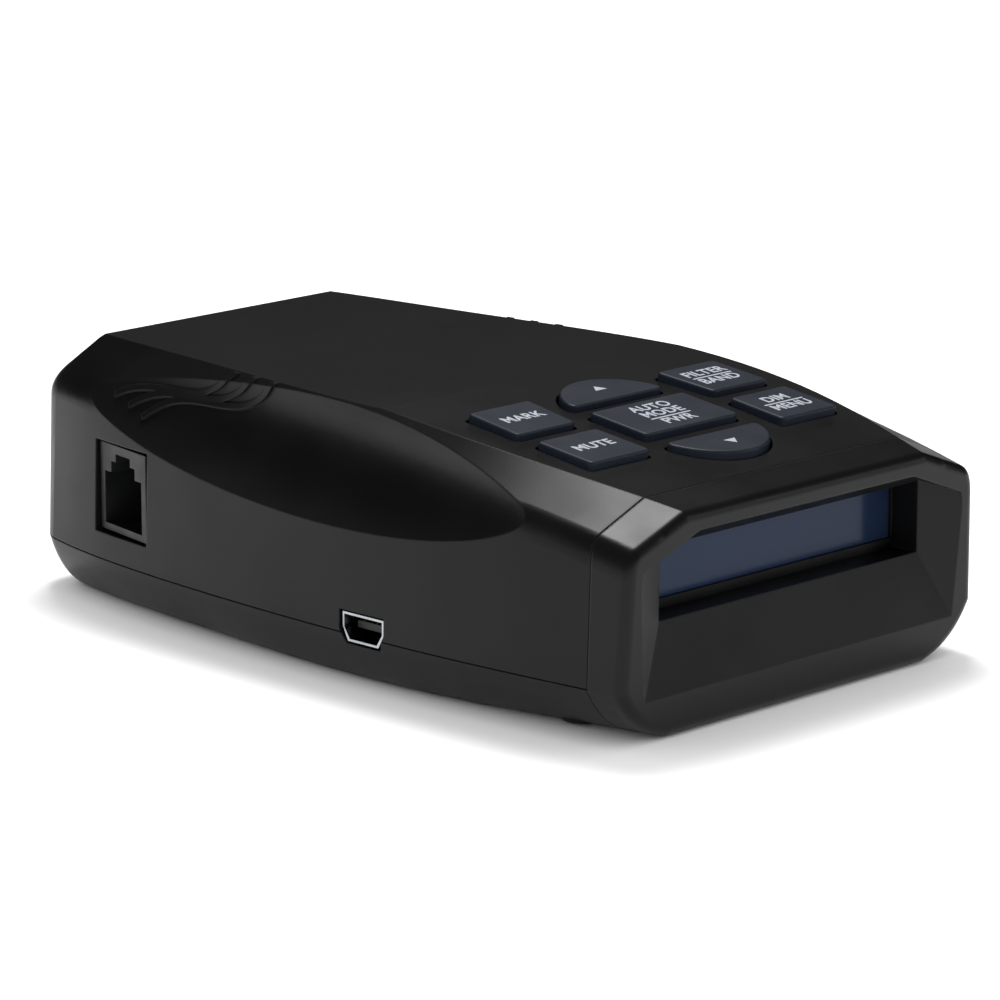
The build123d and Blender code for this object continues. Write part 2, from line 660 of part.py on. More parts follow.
flare = loft([horn_rect(horn_end_y - flare_length, throat_width, throat_height),
              horn_rect(horn_end_y + 0.5, horn_width - 2 * horn_wall,
                        2 * (horn_half - horn_wall))], ruled=True)
guide = extrude(horn_rect(horn_end_y - flare_length + 0.1, throat_width, throat_height), -8.0)
cavity = flare + guide
horn_side = horn_width / 2
lower = block(horn_x - horn_side, horn_x + horn_side, horn_start_y, horn_end_y, horn_low, horn_mid - 0.02)
cover_start = horn_end_y - flare_length - 8.0
upper = block(horn_x - horn_side, horn_x + horn_side, cover_start, horn_end_y, horn_mid + 0.02,
              horn_mid + horn_half)
horn_screws = []
for sx in (-1, 1):
    for y in (cover_start + 4.0, cover_start + 16.0):
        x = horn_x + sx * (horn_side - 3.2)
        lower -= rod(x, y, horn_mid - 5, horn_mid + 1, 0.9)
        upper -= rod(x, y, horn_low, 40, 0.9)
        horn_screws.append(rod(x, y, horn_mid - 4, horn_mid + horn_half + 0.05, 0.8)
                           + rod(x, y, horn_mid + horn_half + 0.03, horn_mid + horn_half + 1.0, 1.6))
nodes["horn_lower"] = lower - cavity
nodes["horn_upper"] = upper - cavity
nodes["horn_screws"] = Compound(children=horn_screws)
mixer = block(horn_x - horn_side + 1, horn_x + horn_side - 1, horn_start_y + 0.6, cover_start - 0.3,
              horn_mid + 0.02, horn_mid + mixer_t)
nodes["mixer_board"] = mixer
can_low = horn_mid + mixer_t + 0.02
can = block(horn_x - horn_side + 2, horn_x + horn_side - 2, horn_start_y + 1.2, cover_start - 0.6,
            can_low, can_low + can_height)
can -= block(horn_x - horn_side + 2 + can_skin, horn_x + horn_side - 2 - can_skin,
             horn_start_y + 1.2 + can_skin, cover_start - 0.6 - can_skin,
             can_low - 1, can_low + can_height - can_skin)
nodes["mixer_can"] = can

# ---- rear window and laser receiver
panel_back = rear_y - 0.6
panel = block(-window_panel_width / 2 + fit_air, window_panel_width / 2 - fit_air,
              panel_back - window_panel_t, panel_back,
              window_panel_low_z + fit_air, window_panel_high_z - fit_air)
nodes["rear_window"] = panel & body(0.3)
laser_z = horn_low + 6.5
laser_lens = Pos(laser_x, rear_y - 4.2, laser_z) * Rot(90, 0, 0) * Cylinder(laser_lens_r, 1.2)
laser_dome = Pos(laser_x, rear_y - 8.0, laser_z) * Sphere(4.8)
laser_core = Rot(90, 0, 0) * Cylinder(laser_lens_r - 0.4, 2 * laser_lens_t)
laser_dome &= Pos(laser_x, rear_y - 3.6, laser_z) * laser_core
nodes["laser_lens"] = laser_lens + (laser_dome & slab(rear_y - 4.4, rear_y - 2.6))
laser_board_y = rear_y - 14.0
nodes["laser_board"] = block(laser_x - 4.2, laser_x + 4.2, laser_board_y, laser_board_y + 1.0,
                             board_top, laser_z + 6.0)
nodes["laser_photodiode"] = block(laser_x - 1.8, laser_x + 1.8, laser_board_y + 1.0, laser_board_y + 2.6,
                                  laser_z - 1.8, laser_z + 1.8)

# ---- satellite receiver and main board parts
gps_can = block(-gps_side / 2 + 1, gps_side / 2 - 1, gps_y - gps_side / 2 + 1, gps_y + gps_side / 2 - 1,
                board_top, board_top + gps_can_height)
nodes["gps_can"] = gps_can
patch = block(-gps_side / 2, gps_side / 2, gps_y - gps_side / 2, gps_y + gps_side / 2,
              board_top + gps_can_height, board_top + gps_can_height + gps_height)
nodes["gps_patch_antenna"] = fillet(patch.edges().filter_by(Axis.Z), 0.8)
chips = [block(14, 24, -30, -20, board_top, board_top + 1.4),
         block(-24, -15, -34, -26, board_top, board_top + 1.2),
         block(16, 22, -12, -5, board_top, board_top + 1.6),
         block(14, 20, 8, 13, board_top, board_top + 1.2)]
nodes["main_chips"] = Compound(children=chips)
cans = [rod(x, capacitor_y, board_top, board_top + capacitor_height, capacitor_r) for x in capacitor_xs]
nodes["capacitors"] = Compound(children=cans)
nodes["power_coil"] = block(-27, -21, -20, -14, board_top, board_top + 3.0)
nodes["key_cable_socket"] = block(-8, 8, -29.0, -25.0, board_top, board_top + 2.5)

os.makedirs("parts", exist_ok=True)
for name, shape in nodes.items():
    export_step(shape if isinstance(shape, Compound) else Compound(children=[shape]), f"parts/{name}.step")
print(len(nodes), "nodes")
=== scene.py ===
import bpy
import json
import math
from mathutils import Matrix, Vector


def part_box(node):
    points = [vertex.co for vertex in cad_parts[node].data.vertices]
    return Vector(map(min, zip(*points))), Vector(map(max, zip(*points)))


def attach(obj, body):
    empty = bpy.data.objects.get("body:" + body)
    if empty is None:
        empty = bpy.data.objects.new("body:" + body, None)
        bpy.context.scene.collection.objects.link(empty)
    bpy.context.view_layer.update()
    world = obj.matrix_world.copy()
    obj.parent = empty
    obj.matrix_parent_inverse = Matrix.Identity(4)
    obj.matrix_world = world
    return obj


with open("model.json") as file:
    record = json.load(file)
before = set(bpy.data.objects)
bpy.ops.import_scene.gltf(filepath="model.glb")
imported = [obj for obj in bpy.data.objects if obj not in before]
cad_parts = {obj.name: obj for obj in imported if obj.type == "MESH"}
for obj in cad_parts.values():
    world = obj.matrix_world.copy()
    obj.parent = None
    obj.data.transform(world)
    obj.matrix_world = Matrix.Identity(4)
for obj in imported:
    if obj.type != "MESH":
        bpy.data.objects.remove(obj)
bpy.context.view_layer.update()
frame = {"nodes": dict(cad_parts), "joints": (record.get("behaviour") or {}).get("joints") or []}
nodes = frame["nodes"]
mm = 0.001
print("frame loaded,", len(nodes), "nodes")


def hexColour(code):
    # sRGB hex to linear RGBA
    parts = [int(code[i:i + 2], 16) / 255 for i in (1, 3, 5)]
    return [c / 12.92 if c <= 0.04045 else ((c + 0.055) / 1.055) ** 2.4 for c in parts] + [1.0]


def addNode(tree, kind, settings=None, links=None):
    # settings name either an input socket or a property of the node
    node = tree.nodes.new(kind)
    for key, value in (settings or {}).items():
        if isinstance(key, str) and key[0].islower():
            setattr(node, key, value)
        else:
            node.inputs[key].default_value = value
    for key, source in (links or {}).items():
        tree.links.new(source, node.inputs[key])
    return node


def startMaterial(name):
    material = bpy.data.materials.new(name)
    material.use_nodes = True
    material.node_tree.nodes.clear()
    return material, material.node_tree


def finishMaterial(tree, shader):
    addNode(tree, "ShaderNodeOutputMaterial", None, {"Surface": shader.outputs[0]})


def mouldedPlastic(name, look):
    # thermoplastic out of a spark-eroded mould: a fine even grain breaks up the gloss, edges come out a
    # little rounder
    #     and get a paler colour that is partly wear and partly a painted highlight, and handling leaves soft
    #     cloudy patches
    material, tree = startMaterial(name)
    place = addNode(tree, "ShaderNodeTexCoord").outputs["Object"]
    grain = addNode(tree, "ShaderNodeTexNoise",
                    {"Scale": 1 / (look["grainMm"] * mm), "Detail": 3.0, "Roughness": 0.6},
                    {"Vector": place})
    cloud = addNode(tree, "ShaderNodeTexNoise", {"Scale": 1 / (look["cloudMm"] * mm), "Detail": 4.0},
                    {"Vector": place})
    rounded = addNode(tree, "ShaderNodeBevel", {"samples": 4, "Radius": look["edgeMm"] * mm})
    facet = addNode(tree, "ShaderNodeNewGeometry")
    meeting = addNode(tree, "ShaderNodeVectorMath", {"operation": "DOT_PRODUCT"},
                      {0: rounded.outputs["Normal"], 1: facet.outputs["Normal"]})
    edge = addNode(tree, "ShaderNodeMapRange",      # 1 is flat, less is nearer to a corner
                   {"From Min": cornerRange[0], "From Max": cornerRange[1], "To Min": 0.0,
                    "To Max": look["cornerWearAndHighlight"]}, {"Value": meeting.outputs["Value"]})
    tint = addNode(tree, "ShaderNodeMix", {"data_type": "RGBA", 6: hexColour(look["colour"]),
                                           7: hexColour(look["cloudColour"])}, {0: cloud.outputs[0]})
    # paler colour at corners: partly wear, partly a painted highlight
    wearAndHighlightTint = addNode(tree, "ShaderNodeMix", {"data_type": "RGBA", 7: hexColour(look["cornerWearAndHighlightColour"])},
                   {0: edge.outputs[0], 6: tint.outputs[2]})
    gloss = addNode(tree, "ShaderNodeMapRange",
                    {"From Min": noiseRange[0], "From Max": noiseRange[1], "To Min": look["roughness"][0],
                     "To Max": look["roughness"][1]}, {"Value": cloud.outputs[0]})
    bump = addNode(tree, "ShaderNodeBump", {"Strength": look["bump"], "Distance": look["grainDepthMm"] * mm},
                   {"Height": grain.outputs[0], "Normal": rounded.outputs["Normal"]})
    shader = addNode(tree, "ShaderNodeBsdfPrincipled",
                     {"IOR": look["ior"], "Specular IOR Level": look["specular"]},
                     {"Base Color": wearAndHighlightTint.outputs[2], "Roughness": gloss.outputs[0],
                      "Normal": bump.outputs[0]})
    finishMaterial(tree, shader)
    return material


def workedMetal(name, look):
    # sheet, plated or cast metal: streaks along the rolling direction or a cast skin, and dull patches
    material, tree = startMaterial(name)
    place = addNode(tree, "ShaderNodeTexCoord").outputs["Object"]
    stretch = addNode(tree, "ShaderNodeMapping", {"Scale": look["stretch"]}, {"Vector": place})
    streak = addNode(tree, "ShaderNodeTexNoise", {"Scale": 1 / (look["streakMm"] * mm), "Detail": 5.0},
                     {"Vector": stretch.outputs[0]})
    patch = addNode(tree, "ShaderNodeTexNoise", {"Scale": 1 / (look["patchMm"] * mm), "Detail": 2.0},
                    {"Vector": place})
    tint = addNode(tree, "ShaderNodeMix", {"data_type": "RGBA", 6: hexColour(look["colour"]),
                                           7: hexColour(look["dullColour"])}, {0: patch.outputs[0]})
    gloss = addNode(tree, "ShaderNodeMapRange",
                    {"From Min": noiseRange[0], "From Max": noiseRange[1], "To Min": look["roughness"][0],
                     "To Max": look["roughness"][1]}, {"Value": streak.outputs[0]})
    bump = addNode(tree, "ShaderNodeBump", {"Strength": look["bump"], "Distance": look["streakDepthMm"] * mm},
                   {"Height": streak.outputs[0]})
    shader = addNode(tree, "ShaderNodeBsdfPrincipled", {"Metallic": 1.0},
                     {"Base Color": tint.outputs[2], "Roughness": gloss.outputs[0],
                      "Normal": bump.outputs[0]})
    finishMaterial(tree, shader)
    return material


def clearPlastic(name, look):
    # cast acrylic filter: deep tint, high gloss, faint moulding ripple, and a painted light gradient along
    # one axis
    material, tree = startMaterial(name)
    place = addNode(tree, "ShaderNodeTexCoord").outputs["Object"]
    ripple = addNode(tree, "ShaderNodeTexNoise", {"Scale": 1 / (look["rippleMm"] * mm), "Detail": 1.0},
                     {"Vector": place})
    across = addNode(tree, "ShaderNodeSeparateXYZ", None, {0: place})
    fade = addNode(tree, "ShaderNodeMapRange",
                   {"From Min": look["fadeFrom"] * mm, "From Max": look["fadeTo"] * mm},
                   {"Value": across.outputs[look["fadeAxis"]]})
    # painted light: the colour ramps along the fade axis from the tint to the painted light colour
    tint = addNode(tree, "ShaderNodeMix", {"data_type": "RGBA", 6: hexColour(look["colour"]),
                                           7: hexColour(look["paintedLightColour"])}, {0: fade.outputs[0]})
    gloss = addNode(tree, "ShaderNodeMapRange",
                    {"To Min": look["roughness"][0], "To Max": look["roughness"][1]},
                    {"Value": ripple.outputs[0]})
    bump = addNode(tree, "ShaderNodeBump", {"Strength": look["bump"], "Distance": look["rippleDepthMm"] * mm},
                   {"Height": ripple.outputs[0]})
    shader = addNode(tree, "ShaderNodeBsdfPrincipled",
                     {"IOR": look["ior"], "Specular IOR Level": look["specular"]},
                     {"Base Color": tint.outputs[2], "Roughness": gloss.outputs[0],
                      "Normal": bump.outputs[0]})
    finishMaterial(tree, shader)
    return material


def printedBoard(name, look):
    # glass-epoxy laminate under green solder mask: copper tracks show as paler lines, with plated pads
    material, tree = startMaterial(name)
    place = addNode(tree, "ShaderNodeTexCoord").outputs["Object"]
    tracks = addNode(tree, "ShaderNodeTexBrick",
                     {"Scale": 1 / (look["trackMm"] * mm), "Mortar Size": look["trackShare"],
                      "Color1": hexColour(look["mask"]), "Color2": hexColour(look["mask2"]),
                      "Mortar": hexColour(look["track"])}, {"Vector": place})
    pads = addNode(tree, "ShaderNodeTexVoronoi", {"Scale": 1 / (look["padMm"] * mm)}, {"Vector": place})
    pad = addNode(tree, "ShaderNodeMath", {"operation": "LESS_THAN", 1: look["padShare"]},
                  {0: pads.outputs["Distance"]})
    tint = addNode(tree, "ShaderNodeMix", {"data_type": "RGBA", 7: hexColour(look["pad"])},
                   {0: pad.outputs[0], 6: tracks.outputs["Color"]})
    bump = addNode(tree, "ShaderNodeBump", {"Strength": look["bump"], "Distance": look["copperMm"] * mm},
                   {"Height": tracks.outputs["Fac"]})
    shader = addNode(tree, "ShaderNodeBsdfPrincipled", {"Roughness": look["roughness"], "IOR": look["ior"]},
                     {"Base Color": tint.outputs[2], "Metallic": pad.outputs[0], "Normal": bump.outputs[0]})
    finishMaterial(tree, shader)
    return material


def wovenMesh(name, look):
    # acoustic cloth: plain weave of fine polyester, two sets of threads at right angles
    material, tree = startMaterial(name)
    place = addNode(tree, "ShaderNodeTexCoord").outputs["Object"]
    pitch = 1 / (look["threadMm"] * mm)
    warp = addNode(tree, "ShaderNodeTexWave",
                   {"bands_direction": "X", "Scale": pitch / 3, "Distortion": look["waver"]},
                   {"Vector": place})
    weft = addNode(tree, "ShaderNodeTexWave",
                   {"bands_direction": "Y", "Scale": pitch / 3, "Distortion": look["waver"]},
                   {"Vector": place})
    cloth = addNode(tree, "ShaderNodeMath", {"operation": "MAXIMUM"},
                    {0: warp.outputs["Fac"], 1: weft.outputs["Fac"]})
    tint = addNode(tree, "ShaderNodeMix", {"data_type": "RGBA", 6: hexColour(look["gap"]),
                                           7: hexColour(look["thread"])}, {0: cloth.outputs[0]})
    bump = addNode(tree, "ShaderNodeBump", {"Strength": look["bump"], "Distance": look["threadDepthMm"] * mm},
                   {"Height": cloth.outputs[0]})
    shader = addNode(tree, "ShaderNodeBsdfPrincipled", {"Roughness": look["roughness"], "IOR": look["ior"]},
                     {"Base Color": tint.outputs[2], "Normal": bump.outputs[0]})
    finishMaterial(tree, shader)
    return material


noiseRange = (0.3, 0.7)     # where most of a noise texture's values lie
cornerRange = (0.99, 0.8)   # rounded normal against true normal, from flat to a corner that is worn and carries a painted highlight

# grain of a spark-eroded mould is near 0.1 mm; drawn at 0.3 mm and up so that it shows
# each corner colour is paler than the body: partly wear, partly a painted highlight along the edges
plasticLooks = {
    # ABS out of a fine-sparked mould: near black, satin, a little shinier where hands rub it
    "satinAbsCase": {"colour": "#0c0c0d", "cloudColour": "#111113", "cornerWearAndHighlightColour": "#2a2c30", "cornerWearAndHighlight": 0.6,
                     "roughness": (0.34, 0.42), "grainMm": 0.32, "grainDepthMm": 0.02, "bump": 0.25,
                     "cloudMm": 14.0, "edgeMm": 0.35, "ior": 1.53, "specular": 0.2},
    # the same ABS from a finer mould, so the display end is a shade glossier
    "satinAbsBezel": {"colour": "#0d0d0e", "cloudColour": "#121214", "cornerWearAndHighlightColour": "#2e3034", "cornerWearAndHighlight": 0.6,
                      "roughness": (0.30, 0.38), "grainMm": 0.32, "grainDepthMm": 0.02, "bump": 0.2,
                      "cloudMm": 12.0, "edgeMm": 0.35, "ior": 1.53, "specular": 0.2},
    # caps sprayed with soft-touch navy lacquer: bluish, soft highlights
    "softTouchKey": {"colour": "#18202b", "cloudColour": "#1d2632", "cornerWearAndHighlightColour": "#3a4654", "cornerWearAndHighlight": 0.5,
                     "roughness": (0.42, 0.5), "grainMm": 0.28, "grainDepthMm": 0.012, "bump": 0.2,
                     "cloudMm": 6.0, "edgeMm": 0.2, "ior": 1.45, "specular": 0.4},
    # glass-filled nylon of sockets: rougher, with a mottled skin
    "jackNylon": {"colour": "#0e0f10", "cloudColour": "#151617", "cornerWearAndHighlightColour": "#26282a", "cornerWearAndHighlight": 0.5,
                  "roughness": (0.4, 0.55), "grainMm": 0.4, "grainDepthMm": 0.02, "bump": 0.25,
                  "cloudMm": 4.0, "edgeMm": 0.15, "ior": 1.53, "specular": 0.5},
    # moulding epoxy of chips: dark grey and dull
    "epoxyChip": {"colour": "#141516", "cloudColour": "#1c1d1f", "cornerWearAndHighlightColour": "#2b2c2e", "cornerWearAndHighlight": 0.4,
                  "roughness": (0.5, 0.65), "grainMm": 0.2, "grainDepthMm": 0.015, "bump": 0.3,
                  "cloudMm": 3.0, "edgeMm": 0.1, "ior": 1.5, "specular": 0.5},
    # screen-printed black on the frame round the display: flat and without glare
    "paintedMask": {"colour": "#08090a", "cloudColour": "#0c0d0e", "cornerWearAndHighlightColour": "#141516", "cornerWearAndHighlight": 0.3,
                    "roughness": (0.55, 0.65), "grainMm": 0.3, "grainDepthMm": 0.01, "bump": 0.2,
                    "cloudMm": 8.0, "edgeMm": 0.1, "ior": 1.5, "specular": 0.4},
    # pressed paper pulp: fibrous, no shine
    "speakerPaper": {"colour": "#1d1b19", "cloudColour": "#282522", "cornerWearAndHighlightColour": "#33302c", "cornerWearAndHighlight": 0.2,
                     "roughness": (0.8, 0.95), "grainMm": 0.5, "grainDepthMm": 0.06, "bump": 0.5,
                     "cloudMm": 3.0, "edgeMm": 0.1, "ior": 1.45, "specular": 0.3},
    # fired ceramic of the patch antenna: chalky cream with a fine tooth
    "firedCeramic": {"colour": "#b9b2a2", "cloudColour": "#c8c2b4", "cornerWearAndHighlightColour": "#d8d3c8", "cornerWearAndHighlight": 0.4,
                     "roughness": (0.45, 0.6), "grainMm": 0.3, "grainDepthMm": 0.02, "bump": 0.3,
                     "cloudMm": 5.0, "edgeMm": 0.1, "ior": 1.7, "specular": 0.5},
    # metallised polyester label, left blank
    "labelFoil": {"colour": "#9a9da1", "cloudColour": "#a9acb0", "cornerWearAndHighlightColour": "#c3c5c8", "cornerWearAndHighlight": 0.5,
                  "roughness": (0.35, 0.5), "grainMm": 0.25, "grainDepthMm": 0.008, "bump": 0.3,
                  "cloudMm": 7.0, "edgeMm": 0.1, "ior": 1.5, "specular": 0.5},
    # pad-printed ink: matt pale grey with thin spots
    "legendInk": {"colour": "#a9aeb6", "cloudColour": "#969ca5", "cornerWearAndHighlightColour": "#c4c8ce", "cornerWearAndHighlight": 0.2,
                  "roughness": (0.5, 0.6), "grainMm": 0.2, "grainDepthMm": 0.006, "bump": 0.2,
                  "cloudMm": 0.8, "edgeMm": 0.03, "ior": 1.5, "specular": 0.4},
}
metalLooks = {
    # tin-plated steel, pressed: bright and slightly rippled along the rolling direction
    "tinnedSteel": {"colour": "#c2c5c8", "dullColour": "#9fa3a8", "roughness": (0.18, 0.34), "streakMm": 1.6,
                    "streakDepthMm": 0.01, "stretch": (0.25, 1.0, 1.0), "patchMm": 4.0, "bump": 0.2},
    # thin hard gold over nickel: warm, drawn lengthways
    "contactGold": {"colour": "#e2b45c", "dullColour": "#c99a48", "roughness": (0.18, 0.3), "streakMm": 0.8,
                    "streakDepthMm": 0.01, "stretch": (0.3, 1.0, 1.0), "patchMm": 2.0, "bump": 0.15},
    # die-cast zinc: grey, with the even pitting of a cast skin
    "castZinc": {"colour": "#8f9296", "dullColour": "#75787c", "roughness": (0.42, 0.6), "streakMm": 0.7,
                 "streakDepthMm": 0.01, "stretch": (1.0, 1.0, 1.0), "patchMm": 5.0, "bump": 0.5},
    # blackened screw steel: dark with a thin oily shine
    "blackOxideSteel": {"colour": "#2c2d2f", "dullColour": "#1d1e20", "roughness": (0.35, 0.5),
                        "streakMm": 0.5, "streakDepthMm": 0.01, "stretch": (1.0, 1.0, 1.0), "patchMm": 1.5,
                        "bump": 0.3},
}
clearLooks = {
    # smoked acrylic over the display: blue-grey, soft anti-glare face, darker towards +x as painted shade
    "smokedAcrylic": {"colour": "#1c2c46", "paintedLightColour": "#1d2940", "fadeAxis": 0, "fadeFrom": -25.0,
                      "fadeTo": 25.0, "rippleMm": 9.0, "rippleDepthMm": 0.02, "bump": 0.05,
                      "roughness": (0.12, 0.18), "specular": 0.15, "ior": 1.49},
    # display glass, unlit: almost black with a green cast, lighter towards the top as a painted highlight
    "fluorescentGlass": {"colour": "#0c1a18", "paintedLightColour": "#12231f", "fadeAxis": 2, "fadeFrom": 15.0,
                         "fadeTo": 25.0, "rippleMm": 6.0, "rippleDepthMm": 0.02, "bump": 0.05,
                         "roughness": (0.05, 0.1), "specular": 0.5, "ior": 1.49},
    # acrylic that passes infrared: black with a trace of red, high gloss, lighter towards the top as a
    # painted highlight
    "infraredWindow": {"colour": "#0a0608", "paintedLightColour": "#150a0c", "fadeAxis": 2, "fadeFrom": 10.0,
                       "fadeTo": 29.0, "rippleMm": 12.0, "rippleDepthMm": 0.02, "bump": 0.05,
                       "roughness": (0.06, 0.12), "specular": 0.5, "ior": 1.49},
    # moulded lens with a dark red dye, paler towards the top as a painted highlight
    "laserLens": {"colour": "#3a1418", "paintedLightColour": "#52202a", "fadeAxis": 2, "fadeFrom": 15.0,
                  "fadeTo": 22.0, "rippleMm": 5.0, "rippleDepthMm": 0.02, "bump": 0.05,
                  "roughness": (0.04, 0.08), "specular": 0.6, "ior": 1.49},
}
boardLook = {"mask": "#12402a", "mask2": "#17492f", "track": "#2f7a4c", "pad": "#c9a458", "trackMm": 1.2,
             "trackShare": 0.05, "padMm": 2.2, "padShare": 0.16, "copperMm": 0.04, "bump": 0.4,
             "roughness": 0.32, "ior": 1.5}
meshLook = {"thread": "#1b1b1c", "gap": "#050505", "threadMm": 0.35, "waver": 0.4, "threadDepthMm": 0.05,
            "bump": 0.6, "roughness": 0.85, "ior": 1.5}

paint = {name: mouldedPlastic(name, look) for name, look in plasticLooks.items()}
paint.update({name: workedMetal(name, look) for name, look in metalLooks.items()})
paint.update({name: clearPlastic(name, look) for name, look in clearLooks.items()})
paint["solderMaskBoard"] = printedBoard("solderMaskBoard", boardLook)
paint["speakerCloth"] = wovenMesh("speakerCloth", meshLook)

finishOf = {
    "satinAbsCase": ["top_case", "bottom_case"],
    "satinAbsBezel": ["front_bezel"],
    "softTouchKey": ["mark_key", "mute_key", "up_key", "power_key", "down_key", "filter_key", "dim_key"],
    "smokedAcrylic": ["display_lens"],
    "fluorescentGlass": ["display_glass"],
    "paintedMask": ["display_mask"],
    "infraredWindow": ["rear_window"],
    "laserLens": ["laser_lens"],
    "solderMaskBoard": ["display_board", "key_board", "main_board", "mixer_board", "laser_board"],
    "epoxyChip": ["display_driver", "infrared_receiver", "key_switches", "key_cable_socket", "main_chips",
                  "power_coil", "laser_photodiode"],
    "jackNylon": ["line_jack", "usb_tongue"],
    "contactGold": ["jack_contacts"],
    "tinnedSteel": ["usb_shell", "mixer_can", "gps_can", "capacitors", "speaker"],
    "castZinc": ["horn_lower", "horn_upper"],
    "blackOxideSteel": ["case_screws", "horn_screws"],
    "speakerPaper": ["speaker_cone"],
    "speakerCloth": ["speaker_mesh"],
    "firedCeramic": ["gps_patch_antenna"],
    "labelFoil": ["blank_label"],
}
for finish, names in finishOf.items():
    for name in names:
        for slot in nodes[name].material_slots:
            slot.material = paint[finish]
print("materials on", sum(len(n) for n in finishOf.values()), "nodes")

# what each key says: generic words, and a rule above the last one where it has a second use
legends = {
    "mark_key": {"text": ["MARK"], "rule": False},
    "mute_key": {"text": ["MUTE"], "rule": False},
    "power_key": {"text": ["AUTO", "MODE", "PWR"], "rule": True},
    "filter_key": {"text": ["FILTER", "BAND"], "rule": True},
    "dim_key": {"text": ["DIM", "MENU"], "rule": True},
}
legendLook = {"heightMm": 1.9, "sizeForHeight": 1.38, "letterSpacing": 1.04, "spacingMm": 2.35,
              "boldMm": 0.06, "standMm": 0.03, "ruleMm": (7.6, 0.32), "ruleRoomMm": 0.35, "edgeMm": 0.02}
arrowLook = {"widthMm": 2.2, "depthMm": 1.5}


def keyTop(name):
    # centre of a key's top and its upward direction, from the mesh and the joint
    axis = next(Vector(j["axis"]) for j in frame["joints"] if j["child"] == name + "_body")
    up = -axis.normalized()
    points = [v.co.copy() for v in nodes[name].data.vertices]
    top = max(p.dot(up) for p in points)
    high = [p for p in points if top - p.dot(up) < 0.02 * mm]      # the flat of the cap
    low = Vector([min(p[i] for p in high) for i in range(3)])
    far = Vector([max(p[i] for p in high) for i in range(3)])
    centre = (low + far) / 2
    centre += up * (top - centre.dot(up))
    ahead = up.cross(Vector((1, 0, 0)))
    return Matrix.Translation(centre) @ Matrix((Vector((1, 0, 0)), ahead, up)).transposed().to_4x4()


def settle(piece, place):
    # puts the finished piece's place into its mesh and leaves its object at the origin
    piece.data.transform(place @ piece.matrix_world)
    piece.matrix_world = Matrix.Identity(4)


def pickOnly(pieces):
    bpy.ops.object.select_all(action="DESELECT")
    for piece in pieces:
        piece.select_set(True)
    bpy.context.view_layer.objects.active = pieces[0]


def printWord(word, x, y, size):
    bpy.ops.object.select_all(action="DESELECT")
    bpy.ops.object.text_add(location=(x, y, 0))
    text = bpy.context.object
    text.data.body = word
    text.data.size = size * legendLook["sizeForHeight"]      # so that capitals stand this high
    text.data.align_x = "CENTER"
    text.data.align_y = "CENTER"
    text.data.offset = legendLook["boldMm"] * mm
    text.data.extrude = legendLook["standMm"] * mm
    text.data.space_character = legendLook["letterSpacing"]
    bpy.ops.object.convert(target="MESH")
    return bpy.context.object


def roundEdges(radius):
    # softens every edge of the piece being made
    bpy.ops.object.mode_set(mode="EDIT")
    bpy.ops.mesh.select_all(action="SELECT")
    bpy.ops.mesh.bevel(offset=radius, segments=2)
    bpy.ops.object.mode_set(mode="OBJECT")


def printBar(x, y, width, depth):
    bpy.ops.object.select_all(action="DESELECT")
    bpy.ops.mesh.primitive_cube_add(size=1, location=(x, y, 0),
                                    scale=(width, depth, 2 * legendLook["standMm"] * mm))
    bar = bpy.context.object
    bpy.ops.object.transform_apply(location=False, rotation=False, scale=True)
    roundEdges(legendLook["edgeMm"] * mm)
    return bar


def finishLegend(parts, name):
    pickOnly(parts)
    if len(parts) > 1:
        bpy.ops.object.join()
    legend = bpy.context.object
    legend.name = name.replace("_key", "") + "_legend"
    legend.data.materials.clear()
    legend.data.materials.append(paint["legendInk"])
    bpy.ops.object.transform_apply(location=True, rotation=True, scale=True)
    settle(legend, keyTop(name))
    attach(legend, name + "_body")


for name, look in legends.items():
    rows = look["text"]
    gap = legendLook["spacingMm"] * mm
    parts, y = [], gap * (len(rows) - 1) / 2
    room = legendLook["ruleRoomMm"] * mm if look["rule"] else 0.0
    for number, word in enumerate(rows):
        last = number == len(rows) - 1
        shift = -room if last else room
        parts.append(printWord(word, 0, y + shift, legendLook["heightMm"] * mm))
        if last and look["rule"]:
            ruleWidth, ruleDepth = legendLook["ruleMm"]
            parts.append(printBar(0, y + gap / 2, ruleWidth * mm, ruleDepth * mm))
        y -= gap
    finishLegend(parts, name)

for name, turn in (("up_key", 0), ("down_key", 180)):
    # a triangle on a unit circle is root three wide and one and a half deep
    arrowScale = (arrowLook["widthMm"] * mm / math.sqrt(3), arrowLook["depthMm"] * mm / 1.5,
                  2 * legendLook["standMm"] * mm)
    bpy.ops.object.select_all(action="DESELECT")
    bpy.ops.mesh.primitive_cylinder_add(vertices=3, radius=1, depth=1, rotation=(0, 0, math.radians(turn)),
                                        scale=arrowScale)
    arrow = bpy.context.object
    bpy.ops.object.transform_apply(location=True, rotation=True, scale=True)
    roundEdges(legendLook["edgeMm"] * mm)
    finishLegend([arrow], name)
print("legends printed")

